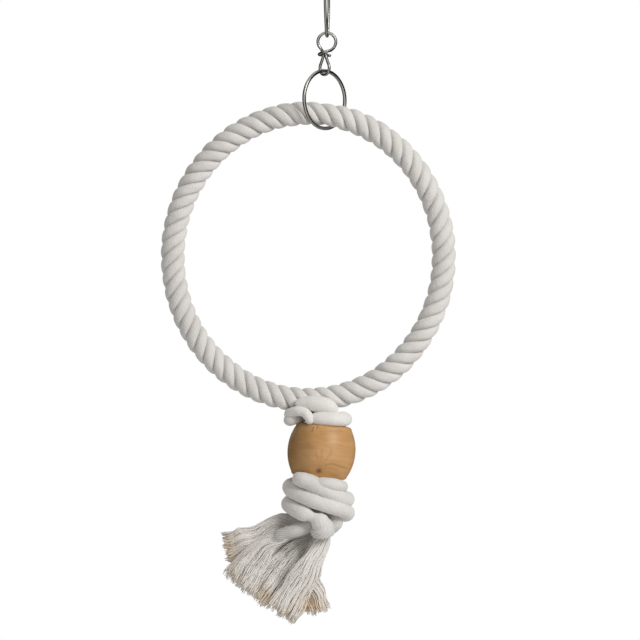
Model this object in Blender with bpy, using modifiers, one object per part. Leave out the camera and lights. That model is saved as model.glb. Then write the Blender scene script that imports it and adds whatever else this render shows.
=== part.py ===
"""Rope ring bird toy: a ring of laid cotton rope hung from a wire hook, with a wooden bead held between
two knots and a frayed tassel. Metres, +Z up, front towards -Y, origin where the hook sits on its bar."""

import math

import bmesh
import bpy
import numpy as np
from mathutils import Matrix, Vector

MM = 0.001

# Rope ring, an upright ellipse in the XZ plane
RING_X = -13.1 * MM
RING_Z = -201.6 * MM
RING_HALF_WIDTH = 94.85 * MM
RING_HALF_HEIGHT = 100.3 * MM
LAY_TURNS = 21
LAY_START = -15.8
# The lay runs a little ahead and behind: degrees by cosine and sine of once and of twice round the ring
LAY_SLIP = [(-44.8, 4.4), (-3.2, 10.9)]
STRANDS = 3
STRAND_OFFSET = 5.0 * MM
STRAND_RADIUS = 3.1 * MM
POINTS_PER_TURN = 8
CORE_RADIUS = 0.8 * MM

# Hook, drawn in its own upright plane: along HOOK_WAY and up
HOOK_WAY = np.array([0.208, 0.978, 0.0])
HOOK_WIRE = 0.95 * MM
EYE_Z = -47.5 * MM
EYE_RADIUS = 3.2 * MM
BOW_RADIUS = 7.4 * MM

# Chain link
LINK_WIRE = 1.05 * MM
LOOP_X = -0.1 * MM
LOOP_Z = -51.34 * MM
LOOP_RADIUS = 6.3 * MM
NECK_X = -1.7 * MM
LOWER_LOOP_WAY = np.array([0.7071, -0.7071, 0.0])
LOWER_LOOP_Z = -74.3 * MM

# Plain ring between the link and the rope
O_RING_WIRE = 1.3 * MM
O_RING_RADIUS = 20.15 * MM
O_RING_Z = -91.8 * MM

# Bead
BEAD_X = -3.85 * MM
BEAD_Z = -337.75 * MM
BEAD_TILT = math.radians(6.0)
BEAD_RADIUS = 23.8 * MM
BEAD_HALF_HEIGHT = 18.6 * MM
BEAD_CURVE_HEIGHT = 28.5 * MM
BORE_RADIUS = 10.4 * MM

# Upper knot, in mm: x, y, z and radius along each length of strand
KNOT_X = -4.8
BACK_TURN_RISE = 0.8
FRONT_TURN = [
    (-19.8, -11.2, -304.2, 2.6), (-16.3, -12.2, -303.8, 3.4), (-11.8, -12.8, -303.9, 4.2),
    (-6.3, -13.3, -304.6, 4.9), (-0.8, -13.4, -305.6, 4.9), (3.5, -12.9, -306.6, 4.3),
    (6.9, -11.8, -307.6, 3.4),
]
KNOT_LOOP = [
    (-4.9, -15.0, -315.2, 3.3), (0.7, -15.4, -315.2, 3.9), (6.2, -14.2, -315.7, 3.9),
    (11.0, -10.0, -315.9, 3.9), (13.6, -1.0, -316.0, 3.9), (11.3, 8.6, -315.7, 3.9),
    (5.2, 14.4, -315.2, 3.9), (-3.8, 16.2, -314.6, 3.9), (-13.5, 14.8, -313.7, 3.9),
    (-21.5, 9.2, -314.4, 3.8), (-25.6, 0.5, -315.6, 3.8), (-24.4, -7.6, -313.8, 3.6),
    (-19.3, -12.6, -311.2, 3.3), (-14.5, -15.0, -312.2, 3.3), (-12.1, -15.9, -315.0, 3.2),
]

# Strand ends below the ring, in mm. They run about this line, given as x and z
LEGS = 6
LEG_START = -20.0
LEG_AXIS = [
    (-4.3, -308.0), (-3.4, -313.0), (-2.1, -319.3), (-2.8, -328.0), (-3.85, -337.75), (-4.8, -347.0),
    (-5.8, -356.3), (-6.0, -366.0), (-6.5, -378.0), (-7.9, -386.0), (-10.3, -393.0), (-11.8, -397.0),
]
# Rows of a strand: height, distance from the line, degrees about it from the right and then backwards, radius
NECK_HEIGHTS = [-310.8, -319.3, -352.0]
NECK_DISTANCE = 6.6
NECK_RADIUS = 3.1
# Two strands come out under the bead and wind round the other four, side by side, in a helix of this pitch
# Its turns drop to the right, more steeply on the left half than on the right half
LEFT_TILT = math.radians(12.0)
RIGHT_TILT = math.radians(7.0)
WRAP_DISTANCE = 20.2
WRAP_RADIUS = 4.75
WRAP_PITCH = 22.0
WRAP_STEP = 28.0
# By strand: rows that come out, height of the first front pass, degrees where it starts and stops, its end
WRAPS = {
    1: ([(-357.8, 7.4, 41.0, 3.2), (-360.9, 10.6, 45.0, 3.5), (-361.8, 14.8, 58.0, 4.1)], -372.9, 80.0, 396.0,
        [(-383.2, 19.6, 420.0, 4.6), (-386.6, 18.6, 440.0, 4.5)]),
    4: ([(-357.8, 7.4, 221.0, 3.1), (-361.4, 10.6, 219.0, 3.3), (-362.1, 15.2, 220.0, 3.3),
         (-361.6, 19.0, 235.0, 3.6)], -362.3, 260.0, 628.0,
        [(-387.2, 19.0, 642.0, 4.7), (-392.0, 17.0, 654.0, 4.5)]),
}
# By strand: how the others fill the knot's middle and leave it
CORES = {
    0: [(-358.4, 8.0, -28.0, 2.9), (-359.2, 13.2, -36.0, 2.6), (-358.7, 17.8, -30.0, 2.6),
        (-359.1, 18.2, -16.0, 2.6), (-361.6, 14.0, -6.0, 3.0), (-366.0, 9.4, -5.0, 4.0),
        (-371.0, 7.9, -5.0, 4.8), (-380.0, 7.7, -5.0, 4.9),
        (-387.0, 7.7, -5.0, 4.7), (-393.0, 7.8, -5.0, 4.3)],
    2: [(-364.5, 7.2, 94.0, 3.9), (-371.0, 7.7, 85.0, 4.9), (-380.0, 7.7, 85.0, 4.9),
        (-387.0, 7.7, 85.0, 4.7), (-393.0, 7.8, 85.0, 4.3)],
    3: [(-364.5, 7.2, 168.0, 3.9), (-371.0, 7.7, 175.0, 4.9), (-378.0, 8.0, 175.0, 4.8),
        (-384.4, 10.2, 175.0, 4.6), (-387.6, 14.4, 176.0, 4.5)],
    5: [(-364.5, 7.2, 273.0, 3.9), (-371.0, 7.7, 265.0, 4.9), (-380.0, 7.9, 263.0, 4.8),
        (-387.0, 9.0, 255.0, 4.7), (-391.9, 11.6, 241.0, 4.6), (-395.0, 15.6, 228.0, 4.5)],
}

# Tassel tails, in mm, by the strand that each carries on: x, y, z, half width and half thickness
TAIL_GAP = 1.3
TAIL_RUN = 3.0
TAILS = [
    [(-4.4, -1.0, -403.0, 4.3, 4.0), (-8.4, -0.6, -413.0, 4.3, 3.9), (-10.3, 0.2, -427.0, 4.6, 3.8),
     (-6.8, 0.0, -439.0, 5.2, 3.6), (-2.8, -0.4, -449.5, 5.8, 3.3)],
    [(-13.0, 18.2, -392.6, 4.4, 4.2), (-13.4, 17.0, -402.0, 5.0, 4.0), (-14.0, 14.2, -417.0, 7.0, 3.8),
     (-18.5, 9.4, -450.5, 9.0, 3.2)],
    [(-16.0, 7.4, -401.5, 5.4, 4.2), (-27.0, 5.6, -411.5, 9.0, 3.7), (-39.5, 3.8, -427.5, 11.4, 3.3),
     (-50.5, 2.6, -441.5, 12.0, 2.9)],
    [(-31.6, 0.5, -386.0, 4.9, 4.3), (-37.0, 0.3, -388.2, 5.4, 4.1), (-42.0, 0.0, -392.4, 6.6, 3.7),
     (-48.5, -0.3, -397.6, 8.4, 3.4), (-58.5, -0.6, -402.6, 10.2, 3.2), (-71.5, -1.2, -406.4, 11.2, 2.9)],
    [(-3.0, -12.4, -400.4, 4.5, 4.3), (-5.6, -13.2, -406.6, 4.8, 4.2), (-10.0, -14.2, -413.5, 5.6, 4.1),
     (-16.0, -13.8, -425.0, 7.6, 3.9), (-32.0, -10.4, -452.0, 10.4, 3.3)],
    [(-30.5, -12.4, -395.4, 4.8, 4.4), (-36.5, -11.4, -398.4, 5.4, 4.1), (-43.5, -10.4, -403.0, 7.0, 3.7),
     (-53.5, -9.2, -415.0, 9.4, 3.3), (-64.0, -7.8, -430.0, 10.8, 2.9)],
]

COTTON = ((0.80, 0.77, 0.70), 0.9, 0.0)
WOOD = ((0.66, 0.43, 0.22), 0.45, 0.0)
PLATED = ((0.62, 0.62, 0.63), 0.25, 1.0)
STEEL = ((0.45, 0.46, 0.48), 0.4, 1.0)


def clear_scene():
    for obj in list(bpy.data.objects):
        bpy.data.objects.remove(obj)


def new_collection(name):
    made = bpy.data.collections.new(name)
    bpy.context.scene.collection.children.link(made)
    return made


def material(name, look):
    colour, roughness, metallic = look
    made = bpy.data.materials.new(name)
    made.use_nodes = True
    shader = made.node_tree.nodes["Principled BSDF"]
    shader.inputs["Base Color"].default_value = (*colour, 1.0)
    shader.inputs["Roughness"].default_value = roughness
    shader.inputs["Metallic"].default_value = metallic
    made.diffuse_color = (*colour, 1.0)
    return made


def place(obj, look, parent=None):
    """Puts a sub-part in the object's collection with a material of its own."""
    PARTS.objects.link(obj)
    obj.data.materials.append(material(obj.name + "_look", look))
    if parent is not None:
        obj.parent = parent
        obj.matrix_parent_inverse = parent.matrix_world.inverted()
    return obj


def smooth(points, per_span):
    """Points of a smooth curve through the given ones, whatever their columns hold."""
    given = np.asarray(points, float)
    held = np.vstack([2 * given[0] - given[1], given, 2 * given[-1] - given[-2]])
    made = []
    for start in range(len(given) - 1):
        a, b, c, d = held[start:start + 4]
        for t in np.arange(per_span) / per_span:
            made.append(b + 0.5 * t * (c - a + t * (2 * a - 5 * b + 4 * c - d + t * (3 * (b - c) + d - a))))
    made.append(given[-1])
    return np.array(made)


def tube(name, points, radius, look, sides=6, origin=(0.0, 0.0, 0.0), closed=False, parent=None):
    """A round wire or strand along the points. radius is one value, or one for each point."""
    points = np.asarray(points, float) - np.asarray(origin, float)
    radii = np.broadcast_to(np.asarray(radius, float), len(points))
    curve = bpy.data.curves.new(name, "CURVE")
    curve.dimensions = "3D"
    curve.bevel_depth = float(radii.max())
    curve.bevel_resolution = (sides - 4) // 2
    curve.use_fill_caps = not closed
    spline = curve.splines.new("POLY")
    spline.points.add(len(points) - 1)
    spline.use_cyclic_u = closed
    spline.use_smooth = True
    for made, point, width in zip(spline.points, points, radii):
        made.co = (*point, 1.0)
        made.radius = width / radii.max()
    obj = bpy.data.objects.new(name, curve)
    obj.location = origin
    return place(obj, look, parent)


def loft(name, rows, first_way, look, sides, parent):
    """A closed solid through oval sections. Each row holds a centre, a half width and a half thickness."""
    made = bmesh.new()
    centres = rows[:, :3]
    ways = np.gradient(centres, axis=0)
    ways[0] = first_way
    loops = []
    for centre, way, (width, depth) in zip(centres, ways, rows[:, 3:]):
        way = Vector(way).normalized()
        across = way.cross(Vector((0.0, 1.0, 0.0))).normalized()
        frame = Matrix((across * width, way.cross(across) * depth, way)).transposed().to_4x4()
        ring = bmesh.ops.create_circle(
            made, segments=sides, radius=1.0, matrix=Matrix.Translation(Vector(centre)) @ frame
        )
        loops.append(list({edge for vert in ring["verts"] for edge in vert.link_edges}))
    for first, second in zip(loops, loops[1:]):
        bmesh.ops.bridge_loops(made, edges=first + second)
    for end in (loops[0], loops[-1]):
        bmesh.ops.contextual_create(made, geom=end)
    bmesh.ops.recalc_face_normals(made, faces=made.faces)
    mesh = bpy.data.meshes.new(name)
    made.to_mesh(mesh)
    made.free()
    return place(bpy.data.objects.new(name, mesh), look, parent)


def least_gap(points, radius, apart):
    """The least clear distance of a tube to itself, leaving out points that are near along it."""
    points = np.asarray(points, float)
    steps = np.linalg.norm(points[:, None] - points[None], axis=2)
    index = np.arange(len(points))
    far = np.abs(index[:, None] - index[None]) > apart
    return float(steps[far].min() - 2 * radius)


def pivot(name, place_at):
    empty = bpy.data.objects.new(name, None)
    empty.empty_display_size = 0.01
    empty.location = place_at
    PARTS.objects.link(empty)
    bpy.context.view_layer.update()
    return empty


def hook_point(along, up):
    return HOOK_WAY * along + np.array([0.0, 0.0, up])


def make_hook():
    """One bent wire: the bow over the bar, the front leg and the eye. The sprung back leg is the gate."""
    bow_z = HOOK_WIRE - BOW_RADIUS
    nose = [hook_point(BOW_RADIUS, up) for up in (-14.0 * MM, -11.0 * MM, -8.5 * MM)]
    bow = [
        hook_point(BOW_RADIUS * math.cos(turn), bow_z + BOW_RADIUS * math.sin(turn))
        for turn in np.linspace(0.0, math.pi, 13)
    ]
    leg = smooth(
        [(-7.4, -6.45), (-7.2, -14.0), (-6.6, -24.0), (-5.0, -34.0), (-3.5, -41.0), (-3.2, -44.3)], 3
    )
    front_leg = [hook_point(along * MM, up * MM) for along, up in leg[1:-1]]
    eye_z = EYE_Z + EYE_RADIUS
    eye = [
        hook_point(EYE_RADIUS * math.cos(turn), eye_z + EYE_RADIUS * math.sin(turn))
        for turn in np.linspace(math.pi, 2 * math.pi, 10)
    ]
    foot = hook_point(EYE_RADIUS + 0.3 * MM, -42.2 * MM)
    tube("cage_hook", [*nose, *bow, *front_leg, *eye, foot], HOOK_WIRE, PLATED, 8)
    route = smooth([(3.55, -41.7), (5.0, -34.5), (6.0, -27.0), (5.7, -19.5), (5.0, -14.0), (4.9, -9.0)], 3)
    hinge = hook_point(EYE_RADIUS - 0.65 * MM, -41.95 * MM)
    gate = [hook_point(along * MM, up * MM) for along, up in route]
    tube("hook_gate", gate, HOOK_WIRE, PLATED, 8, hinge)


def make_link():
    """One wire: down a leg, round the lower loop, up into the upper loop and once round the waist."""
    neck = np.array([NECK_X, 0.0, 0.0])
    up = np.array([0.0, 0.0, 1.0])
    half = [
        (1.45, -58.9), (1.45, -61.5), (2.6, -64.5), (4.4, -68.3), (4.2, -71.6), (2.3, -73.8), (0.0, -74.3),
    ]
    lower = [neck + LOWER_LOOP_WAY * out * MM + up * z * MM for out, z in half]
    lower += [neck - LOWER_LOOP_WAY * out * MM + up * z * MM for out, z in half[-2::-1]]
    upper = [
        np.array([LOOP_X + LOOP_RADIUS * math.cos(turn), 0.0, LOOP_Z + LOOP_RADIUS * math.sin(turn)])
        for turn in np.radians([225, 200, 170, 140, 110, 80, 50, 20, -10, -38])
    ]
    waist = [
        (2.9, -1.9, -57.2), (1.1, -3.3, -57.9), (-0.9, -3.9, -58.4), (-3.8, -2.4, -59.2),
        (-5.5, 0.9, -60.0), (-4.7, 3.2, -60.3), (-2.6, 3.9, -60.5), (0.2, 2.4, -60.7), (2.0, -0.6, -61.0),
    ]
    wrap = [np.array(point) * MM for point in waist]
    route = smooth([*lower, *upper, *wrap], 2)
    print(f"chain_link least gap to itself {least_gap(route, LINK_WIRE, 5) / MM:.2f} mm")
    eye = np.array([0.0, 0.0, EYE_Z])
    tube("chain_link", route, LINK_WIRE, PLATED, 6, eye)


def make_o_ring():
    hinge = Vector((NECK_X, 0.0, LOWER_LOOP_Z))
    bpy.ops.mesh.primitive_torus_add(
        major_segments=40, minor_segments=8, major_radius=O_RING_RADIUS, minor_radius=O_RING_WIRE
    )
    obj = bpy.context.object
    obj.name = "hanging_ring"
    turned = Vector(LOWER_LOOP_WAY).to_track_quat("Z", "Y").to_matrix().to_4x4()
    obj.data.transform(turned)
    obj.data.transform(Matrix.Translation(Vector((NECK_X, 0.0, O_RING_Z)) - hinge))
    obj.location = hinge
    for held in list(obj.users_collection):
        held.objects.unlink(obj)
    place(obj, PLATED)


def ring_path(count):
    """Even points along the rope's closed centre line, clockwise from the bottom, and the way outwards."""
    turn = np.linspace(0.0, 2 * math.pi, 4001)
    line = np.stack([-RING_HALF_WIDTH * np.sin(turn), -RING_HALF_HEIGHT * np.cos(turn)], 1)
    length = np.concatenate([[0.0], np.cumsum(np.linalg.norm(np.diff(line, axis=0), axis=1))])
    turn = np.interp(np.arange(count) / count * length[-1], length, turn)
    zero = np.zeros(count)
    x = RING_X - RING_HALF_WIDTH * np.sin(turn)
    line = np.stack([x, zero, RING_Z - RING_HALF_HEIGHT * np.cos(turn)], 1)
    out = np.stack([-RING_HALF_HEIGHT * np.sin(turn), zero, -RING_HALF_WIDTH * np.cos(turn)], 1)
    return line, out / np.linalg.norm(out, axis=1)[:, None], length[-1]


def make_ring(parent):
    """Three strands laid round a wire hoop, each from the outer edge over the front to the inner edge."""
    count = LAY_TURNS * POINTS_PER_TURN
    line, out, length = ring_path(count)
    front = np.array([0.0, -1.0, 0.0])
    share = 2 * math.pi * np.arange(count) / count
    slip = LAY_START
    for times, (cosine, sine) in enumerate(LAY_SLIP, 1):
        slip = slip + cosine * np.cos(times * share) + sine * np.sin(times * share)
    lay = LAY_TURNS * share + np.radians(slip)
    print(f"rope {length / MM:.0f} mm, pitch {length / LAY_TURNS / MM:.1f} mm")
    for strand in range(STRANDS):
        angle = (lay + 2 * math.pi * strand / STRANDS)[:, None]
        route = line + STRAND_OFFSET * (np.cos(angle) * out + np.sin(angle) * front)
        tube(f"ring_strand_{strand + 1}", route, STRAND_RADIUS, COTTON, 6, closed=True, parent=parent)
    hoop, _, _ = ring_path(48)
    tube("ring_core_hoop", hoop, CORE_RADIUS, STEEL, 6, closed=True, parent=parent)


def make_upper_knot(parent):
    """A turn over the front of the rope, the same over its back, and a loop round the strands under it."""
    front = np.array(FRONT_TURN)
    middle = np.array([KNOT_X, 0.0, 0.0, 0.0])
    half_turn = np.array([-1.0, -1.0, 1.0, 1.0])
    back = (front - middle) * half_turn + middle + np.array([0.0, 0.0, BACK_TURN_RISE, 0.0])
    for name, route in (("front", front), ("back", back)):
        made = smooth(route, 2) * MM
        tube(f"upper_knot_{name}_turn", made[:, :3], made[:, 3], COTTON, 8, parent=parent)
    made = smooth(KNOT_LOOP, 2) * MM
    print(f"upper_knot_loop least gap to itself {least_gap(made[:, :3], 3.3 * MM, 6) / MM:.2f} mm")
    tube("upper_knot_loop", made[:, :3], made[:, 3], COTTON, 8, parent=parent)


def make_bead():
    """A turned barrel with rounded rims and a plain bore."""
    rim = 2.6 * MM
    mouth = 1.4 * MM
    height = BEAD_HALF_HEIGHT - rim
    side = [
        (BEAD_RADIUS * math.sqrt(1 - (z / BEAD_CURVE_HEIGHT) ** 2), z)
        for z in np.linspace(-height, height, 11)
    ]
    top = [
        (side[-1][0] - rim * 0.35, height + rim * 0.7), (side[-1][0] - rim * 1.2, BEAD_HALF_HEIGHT),
        (BORE_RADIUS + mouth, BEAD_HALF_HEIGHT), (BORE_RADIUS + mouth * 0.3, BEAD_HALF_HEIGHT - mouth * 0.3),
        (BORE_RADIUS, BEAD_HALF_HEIGHT - mouth),
    ]
    profile = (side + top + [(out, -z) for out, z in top[::-1]])[::-1]
    mesh = bpy.data.meshes.new("wood_bead")
    edges = [(index, (index + 1) % len(profile)) for index in range(len(profile))]
    mesh.from_pydata([(out, 0.0, z) for out, z in profile], edges, [])
    obj = bpy.data.objects.new("wood_bead", mesh)
    obj.location = (BEAD_X, 0.0, BEAD_Z)
    obj.rotation_euler = (0.0, BEAD_TILT, 0.0)
    turned = obj.modifiers.new("turned", "SCREW")
    turned.axis = "Z"
    turned.steps = 36
    turned.render_steps = 36
    turned.use_merge_vertices = True
    turned.merge_threshold = 0.00001
    place(obj, WOOD)


def leg_rows(leg):
    """Two strands wind round the lower knot and the others fill its middle."""
    start = LEG_START + 360.0 * leg / LEGS
    rows = [(height, NECK_DISTANCE, start, NECK_RADIUS) for height in NECK_HEIGHTS]
    if leg in CORES:
        return rows + CORES[leg]
    out, front, first, last, end = WRAPS[leg]
    rows += out
    for turn in np.arange(first, last + 1.0, WRAP_STEP):
        rows.append((front - WRAP_PITCH * (turn - 270.0) / 360.0, WRAP_DISTANCE, turn, WRAP_RADIUS))
    return rows + end


def leg_route(leg):
    """Points and radii of a strand, in mm. Under the bead it is tilted."""
    height, distance, turn, radius = smooth(leg_rows(leg), 2).T
    line = smooth(LEG_AXIS, 8)
    x = np.interp(-height, -line[:, 1], line[:, 0])
    across = distance * np.cos(np.radians(turn))
    tilted = np.where(across < 0.0, math.tan(LEFT_TILT), math.tan(RIGHT_TILT)) * across
    drop = tilted * np.clip((-352.0 - height) / 7.0, 0.0, 1.0)
    return np.stack([x + across, distance * np.sin(np.radians(turn)), height - drop], 1), radius


def make_legs(parent):
    """Six strands: down through the bead, then wound into the lower knot."""
    for leg in range(LEGS):
        points, radii = leg_route(leg)
        if leg in WRAPS:
            gap = least_gap(points, WRAP_RADIUS, 8)
            print(f"leg_strand_{leg + 1} least gap to itself {gap:.2f} mm")
        sides = 8 if leg in WRAPS else 6
        tube(f"leg_strand_{leg + 1}", points * MM, radii * MM, COTTON, sides, parent=parent)


def make_tails(parent):
    """The unlaid ends: each starts where its strand leaves the lower knot and flattens into a brush."""
    for leg in range(LEGS):
        points, radii = leg_route(leg)
        way = points[-1] - points[-2]
        way /= np.linalg.norm(way)
        round_end = [radii[-1], radii[-1]]
        start = [[*(points[-1] + way * run), *round_end] for run in (TAIL_GAP, TAIL_GAP + TAIL_RUN)]
        loft(f"tassel_tail_{leg + 1}", smooth(start + TAILS[leg], 2) * MM, way, COTTON, 10, parent)


clear_scene()
PARTS = new_collection("rope_ring_bird_toy")
make_hook()
make_link()
make_o_ring()
ROPE_AT_O_RING = RING_Z + RING_HALF_HEIGHT * math.sqrt(1 - ((NECK_X - RING_X) / RING_HALF_WIDTH) ** 2)
ROPE_PIVOT = pivot("rope_pivot", (NECK_X, 0.0, ROPE_AT_O_RING))
make_ring(ROPE_PIVOT)
make_upper_knot(ROPE_PIVOT)
make_legs(ROPE_PIVOT)
make_tails(ROPE_PIVOT)
make_bead()
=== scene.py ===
"""Looks of the rope ring bird toy: laid cotton, wound knots, loose yarn, turned wood and plated wire."""

import math

import bpy
import numpy as np
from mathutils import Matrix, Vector


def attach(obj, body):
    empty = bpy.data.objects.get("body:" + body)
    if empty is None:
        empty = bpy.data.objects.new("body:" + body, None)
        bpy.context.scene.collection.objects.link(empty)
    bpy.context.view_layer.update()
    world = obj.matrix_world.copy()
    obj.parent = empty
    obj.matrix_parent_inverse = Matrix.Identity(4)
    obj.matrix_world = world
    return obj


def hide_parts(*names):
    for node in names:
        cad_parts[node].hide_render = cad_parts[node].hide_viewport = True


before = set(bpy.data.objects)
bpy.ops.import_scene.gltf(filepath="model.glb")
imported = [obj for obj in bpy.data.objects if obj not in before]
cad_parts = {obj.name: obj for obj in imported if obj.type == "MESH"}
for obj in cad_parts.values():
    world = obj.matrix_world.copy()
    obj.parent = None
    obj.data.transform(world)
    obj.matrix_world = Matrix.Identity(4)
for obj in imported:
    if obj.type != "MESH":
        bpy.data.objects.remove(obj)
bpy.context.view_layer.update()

MM = 0.001
FULL_TURN = 2 * math.pi
FRONT = np.array([0.0, -1.0, 0.0])
RIGHT = np.array([1.0, 0.0, 0.0])
UP = np.array([0.0, 0.0, 1.0])
# A way that rises by more than this is steep
STEEP = 0.9

# Random draws: the seed of each kind of piece, and the range of a random phase
RING_SEED = 40
KNOT_SEED = 60
LEG_SEED = 70
TAIL_SEED = 90
PHASES = (0.0, 6.28)

# Camera: 640 pixels across 448 mm at the object, from 3 m in front
CAMERA_AT = (-0.0049, -3.0, -0.24605)
LENS = 241.07
SENSOR = 36.0

# Points that a smooth curve gets between two given ones
SPAN = 8
KNOT_SPAN = 12
LEG_SPAN = 10
CAD_LEG_SPAN = 2

# Rope ring, in mm and degrees, as in the CAD source
RING_X = -13.1
RING_Z = -201.6
RING_HALF_WIDTH = 94.85
RING_HALF_HEIGHT = 100.3
RING_SAMPLES = 4001
STRANDS = 3
LAY_TURNS = 21
LAY_START = -15.8
LAY_SLIP = [(-44.8, 4.4), (-3.2, 10.9)]
# Soft oval strands: where their middles are, and how far they reach outwards and across
LOBE_OFFSET = 4.5
LOBE_OUT = 3.95
LOBE_ACROSS = 5.3
ROWS_PER_LAY = 44
# Where the plain ring bears on the rope, it is pressed in by this share, over this reach in mm
PRESSED = 0.08
PRESSED_REACH = 11.0
# Slow waves in the thickness of the ring's strands: how many go round the ring, and their share of it
RIPPLES = (13, 29, 47, 71)
RIPPLE_SIZE = 0.017

# Yarns in a strand's surface: how many, and the points round each
RING_YARNS = 14
KNOT_YARNS = 18
LEG_YARNS = 16
POINTS_PER_YARN = 6
# Their turns along the whole ring, and their turn elsewhere in radians for each mm
YARN_TURNS = -40
YARN_TWIST = 0.14
# How deep the yarns show in a strand's surface: in the ring and knots, and where strands come loose
KNOT_RELIEF = 0.022
LOOSE_RELIEF = 0.06
YARN_UNEVEN = 0.006
# Painted shade in the valleys between yarns: how dark in any relief, more so in a deep one, and how narrow
VALLEY_DARK = 1.1
DEEP_VALLEY_DARK = 52.0
VALLEY_NARROW = 1.4
# Painted light and shade on the cotton: how much lighter the upper knot is painted, and how much painted
# shade darkens strands where they come loose and the yarns' roots
KNOT_PAINTED_LIGHT = 1.12
LOOSE_PAINTED_SHADE = 0.72
ROOT_PAINTED_SHADE = 0.78
# Slow waves in the thickness of a strand outside the ring: share of it, and length in mm
ROLL_UNEVEN = 0.03
ROLL_WAVE = 17.0
# Waves that are added up for an uneven line, by how much shorter they are, and what brings them to about 1
WANDER_TIMES = (1.0, 1.7, 2.9)
WANDER_SIZE = 1.5
# Rounded ends: how steep their rows are, from the tip on, and how long they are for their radius
DOME = np.radians([84, 66, 48, 30, 14])
STRAND_END = 0.8
WIRE_END = 0.5
UV_PER_MM = 0.1

# Upper knot, in mm: x, y, z and radius
KNOT_STEP = 0.6
KNOT_X = -4.8
BACK_TURN_RISE = 0.8
FRONT_TURN = [
    (-19.4, -10.6, -304.4, 3.4), (-16.3, -11.6, -303.9, 4.2), (-11.8, -12.4, -303.9, 5.1),
    (-6.3, -13.0, -304.7, 5.9), (-1.4, -13.1, -305.7, 5.8), (2.2, -12.4, -307.0, 5.1),
    (4.4, -11.2, -308.4, 4.0),
]
KNOT_LOOP = [
    (-8.0, -14.6, -314.6, 4.2), (-4.9, -15.0, -314.6, 4.8), (0.7, -15.2, -314.9, 5.0),
    (6.2, -14.2, -315.2, 5.0), (10.8, -9.8, -315.2, 5.2), (13.0, -1.0, -315.4, 4.7),
    (11.3, 8.6, -315.7, 4.1), (5.2, 14.4, -315.2, 4.1), (-3.8, 16.2, -314.6, 4.1),
    (-13.5, 14.8, -313.7, 4.1), (-21.5, 9.2, -313.6, 4.0), (-25.8, 0.8, -312.6, 3.9),
    (-25.4, -7.0, -311.0, 3.7), (-20.6, -12.2, -309.6, 3.5), (-16.0, -14.4, -310.2, 3.5),
    (-13.0, -15.6, -313.2, 3.5), (-11.6, -15.7, -316.1, 3.2),
]

# Strand ends below the ring, in mm and degrees, as in the CAD source where no line says otherwise
LEGS = 6
LEG_START = -20.0
LEG_STEP = 0.7
LEG_AXIS = [
    (-4.3, -308.0), (-3.4, -313.0), (-2.1, -319.3), (-2.8, -328.0), (-3.85, -337.75), (-4.8, -347.0),
    (-5.8, -356.3), (-6.0, -366.0), (-6.5, -378.0), (-7.9, -386.0), (-10.3, -393.0), (-11.8, -397.0),
]
NECK_HEIGHTS = [-310.8, -319.3, -352.0]
NECK_DISTANCE = 6.6
NECK_RADIUS = 3.1
# The wound turns tilt at the left and at the right, from one height on and fully from another
LEFT_TILT = math.radians(12.0)
RIGHT_TILT = math.radians(7.0)
TILT_HEIGHTS = (-352.0, -359.0)
# Wound turns, a little closer in than their solids
WRAP_DISTANCE = 19.9
WRAP_RADIUS = 4.75
WRAP_PITCH = 22.0
WRAP_STEP = 28.0
FRONT_DEGREES = 270.0
# Four strands run down inside: height, distance from the knot's middle line, degrees about it, and radius
CORES = {
    0: [(-358.4, 8.0, -28.0, 2.9), (-359.2, 13.2, -36.0, 2.6), (-358.7, 17.8, -30.0, 2.6),
        (-359.1, 18.2, -16.0, 2.6), (-361.6, 14.0, -6.0, 3.0), (-366.0, 9.4, -5.0, 4.0),
        (-371.0, 7.9, -5.0, 4.8), (-380.0, 7.7, -5.0, 4.9),
        (-387.0, 7.7, -5.0, 4.7), (-393.0, 7.8, -5.0, 4.3)],
    2: [(-364.5, 7.2, 94.0, 3.9), (-371.0, 7.7, 85.0, 4.9), (-380.0, 7.7, 85.0, 4.9),
        (-387.0, 7.7, 85.0, 4.7), (-393.0, 7.8, 85.0, 4.3)],
    3: [(-364.5, 7.2, 168.0, 3.9), (-371.0, 7.7, 175.0, 4.9), (-378.0, 8.0, 175.0, 4.8),
        (-384.4, 10.2, 175.0, 4.6), (-387.6, 14.4, 176.0, 4.5)],
    5: [(-364.5, 7.2, 273.0, 3.9), (-371.0, 7.7, 265.0, 4.9), (-380.0, 7.9, 263.0, 4.8),
        (-387.0, 9.0, 255.0, 4.7), (-391.9, 11.6, 241.0, 4.6), (-395.0, 15.6, 228.0, 4.5)],
}
# Two wind round them: such rows on the way out, height at the front, first and last turn, and the last rows
WRAPS = {
    1: ([(-357.8, 7.4, 41.0, 3.2), (-360.9, 10.6, 45.0, 3.5), (-361.8, 14.8, 58.0, 4.1)], -372.9, 80.0, 396.0,
        [(-383.2, 19.6, 420.0, 4.6), (-386.6, 18.6, 440.0, 4.5)]),
    # This one comes out further under the bead than its solid
    4: ([(-357.8, 7.4, 221.0, 3.1), (-361.4, 10.6, 219.0, 3.3), (-362.1, 16.4, 220.0, 3.3),
         (-361.6, 21.6, 235.0, 3.6)], -362.3, 260.0, 628.0,
        [(-387.2, 19.0, 642.0, 4.7), (-392.0, 17.0, 654.0, 4.5)]),
}
# How much fuller soft strands are than their solids, from one height on and fully from another
WRAP_FULL = 1.15
CORE_FULL = 1.06
FULL_HEIGHTS = (-355.0, -360.0)
# How full each strand is at its end, over this length in mm
END_FULL = [1.06, 1.3, 1.06, 1.06, 1.95, 1.06]
END_RUN = 12.0
# Bulges and folds of the wound strands, by strand: degrees where, degrees wide, how much fuller or thinner
FOLDS = {
    1: [(342.0, 5.0, -0.12), (366.0, 16.0, 0.14), (390.0, 6.0, -0.10)],
    4: [(232.0, 20.0, 0.4), (621.0, 8.0, -0.34), (643.0, 2.5, -0.12)],
}
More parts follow.
